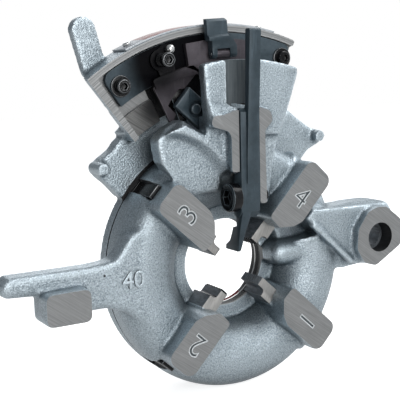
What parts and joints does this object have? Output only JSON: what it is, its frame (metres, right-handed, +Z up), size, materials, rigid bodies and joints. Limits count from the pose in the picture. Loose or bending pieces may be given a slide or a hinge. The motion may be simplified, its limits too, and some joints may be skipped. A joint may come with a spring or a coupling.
{
  "type": "pipe threading die head",
  "caption": "Quick-opening pipe threading die head: cast body with chasers and trip lever, on a cam plate with a size quadrant and handle tongue.",
  "frame": {"origin": "on the bore axis, at the seam between the front body and the cam plate", "axes": "+Z up, towards the size quadrant; -Y is the front, where the pipe enters; +X towards the pivot eye"},
  "size_m": [0.2795, 0.0614, 0.2392],
  "materials": {
    "cast_body": "silver-grey cast skin, machined faces bare",
    "cast_cam": "silver-grey cast skin",
    "oxide_steel": "blue-black oxide",
    "tempered_steel": "purple-brown tempered",
    "tool_steel": "ground tool steel",
    "bright_steel": "bright",
    "black_screw": "black oxide",
    "zinc_steel": "bright zinc",
    "scale_strip": "printed strip",
    "red_felt": "matt felt"
  },
  "bodies": {
    "head_body": {"front_body": "cast_body", "hub_sleeve": "bright_steel", "felt_pad": "red_felt", "snap_ring": "black_screw", "pivot_screw": "black_screw"},
    "cam_quadrant": {"cam_plate": "cast_cam", "arc_plate": "oxide_steel", "arc_washer_left": "zinc_steel", "arc_screw_left": "black_screw", "arc_washer_right": "zinc_steel", "arc_screw_right": "black_screw", "scale_strip": "scale_strip", "scale_screw_left": "zinc_steel", "scale_screw_right": "zinc_steel"},
    "first_chaser": {"chaser_1": "tool_steel"},
    "second_chaser": {"chaser_2": "tool_steel"},
    "third_chaser": {"chaser_3": "tool_steel"},
    "fourth_chaser": {"chaser_4": "tool_steel"},
    "lever": {"trip_lever": "oxide_steel"},
    "size_slide": {"slide_block": "oxide_steel", "catch_plate": "tempered_steel", "clip_pin": "black_screw", "pawl_pin": "black_screw", "adjusting_screw": "black_screw", "adjuster_spring": "black_screw", "plunger": "zinc_steel"},
    "pawl": {"square_pawl": "oxide_steel"},
    "clip": {"lock_clip": "oxide_steel"}
  },
  "joints": [
    {"name": "cam_turn", "type": "hinge", "parent": "head_body", "child": "cam_quadrant", "pos_m": [0, 0, 0], "axis": [0, 1, 0], "range_deg": [-1, 24]},
    {"name": "first_chaser_slide", "type": "slide", "parent": "head_body", "child": "first_chaser", "axis": [0.7385, 0, -0.6743], "range_m": [-0.00031, 0.00721]},
    {"name": "second_chaser_slide", "type": "slide", "parent": "head_body", "child": "second_chaser", "axis": [-0.6743, 0, -0.7385], "range_m": [-0.00031, 0.00721]},
    {"name": "third_chaser_slide", "type": "slide", "parent": "head_body", "child": "third_chaser", "axis": [-0.7385, 0, 0.6743], "range_m": [-0.00031, 0.00721]},
    {"name": "fourth_chaser_slide", "type": "slide", "parent": "head_body", "child": "fourth_chaser", "axis": [0.6743, 0, 0.7385], "range_m": [-0.00031, 0.00721]},
    {"name": "lever_tilt", "type": "hinge", "parent": "head_body", "child": "lever", "pos_m": [0, -0.035, 0.0465], "axis": [-1, 0, 0], "range_deg": [-1.5, 5.5]},
    {"name": "size_setting", "type": "hinge", "parent": "cam_quadrant", "child": "size_slide", "pos_m": [0, 0, 0], "axis": [0, 1, 0], "range_deg": [-1, 7]},
    {"name": "pawl_turn", "type": "hinge", "parent": "size_slide", "child": "pawl", "pos_m": [-0.0254, -0.0178, 0.101], "axis": [0, 1, 0], "range_deg": [-8, 8]},
    {"name": "clip_lift", "type": "hinge", "parent": "size_slide", "child": "clip", "pos_m": [-0.00845, -0.019, 0.13433], "axis": [0.998, 0, 0.0628], "range_deg": [0, 35]}
  ],
  "couplings": [
    {"joint": "first_chaser_slide", "follows": "cam_turn", "m_per_rad": 0.017189},
    {"joint": "second_chaser_slide", "follows": "cam_turn", "m_per_rad": 0.017189},
    {"joint": "third_chaser_slide", "follows": "cam_turn", "m_per_rad": 0.017189},
    {"joint": "fourth_chaser_slide", "follows": "cam_turn", "m_per_rad": 0.017189}
  ]
}
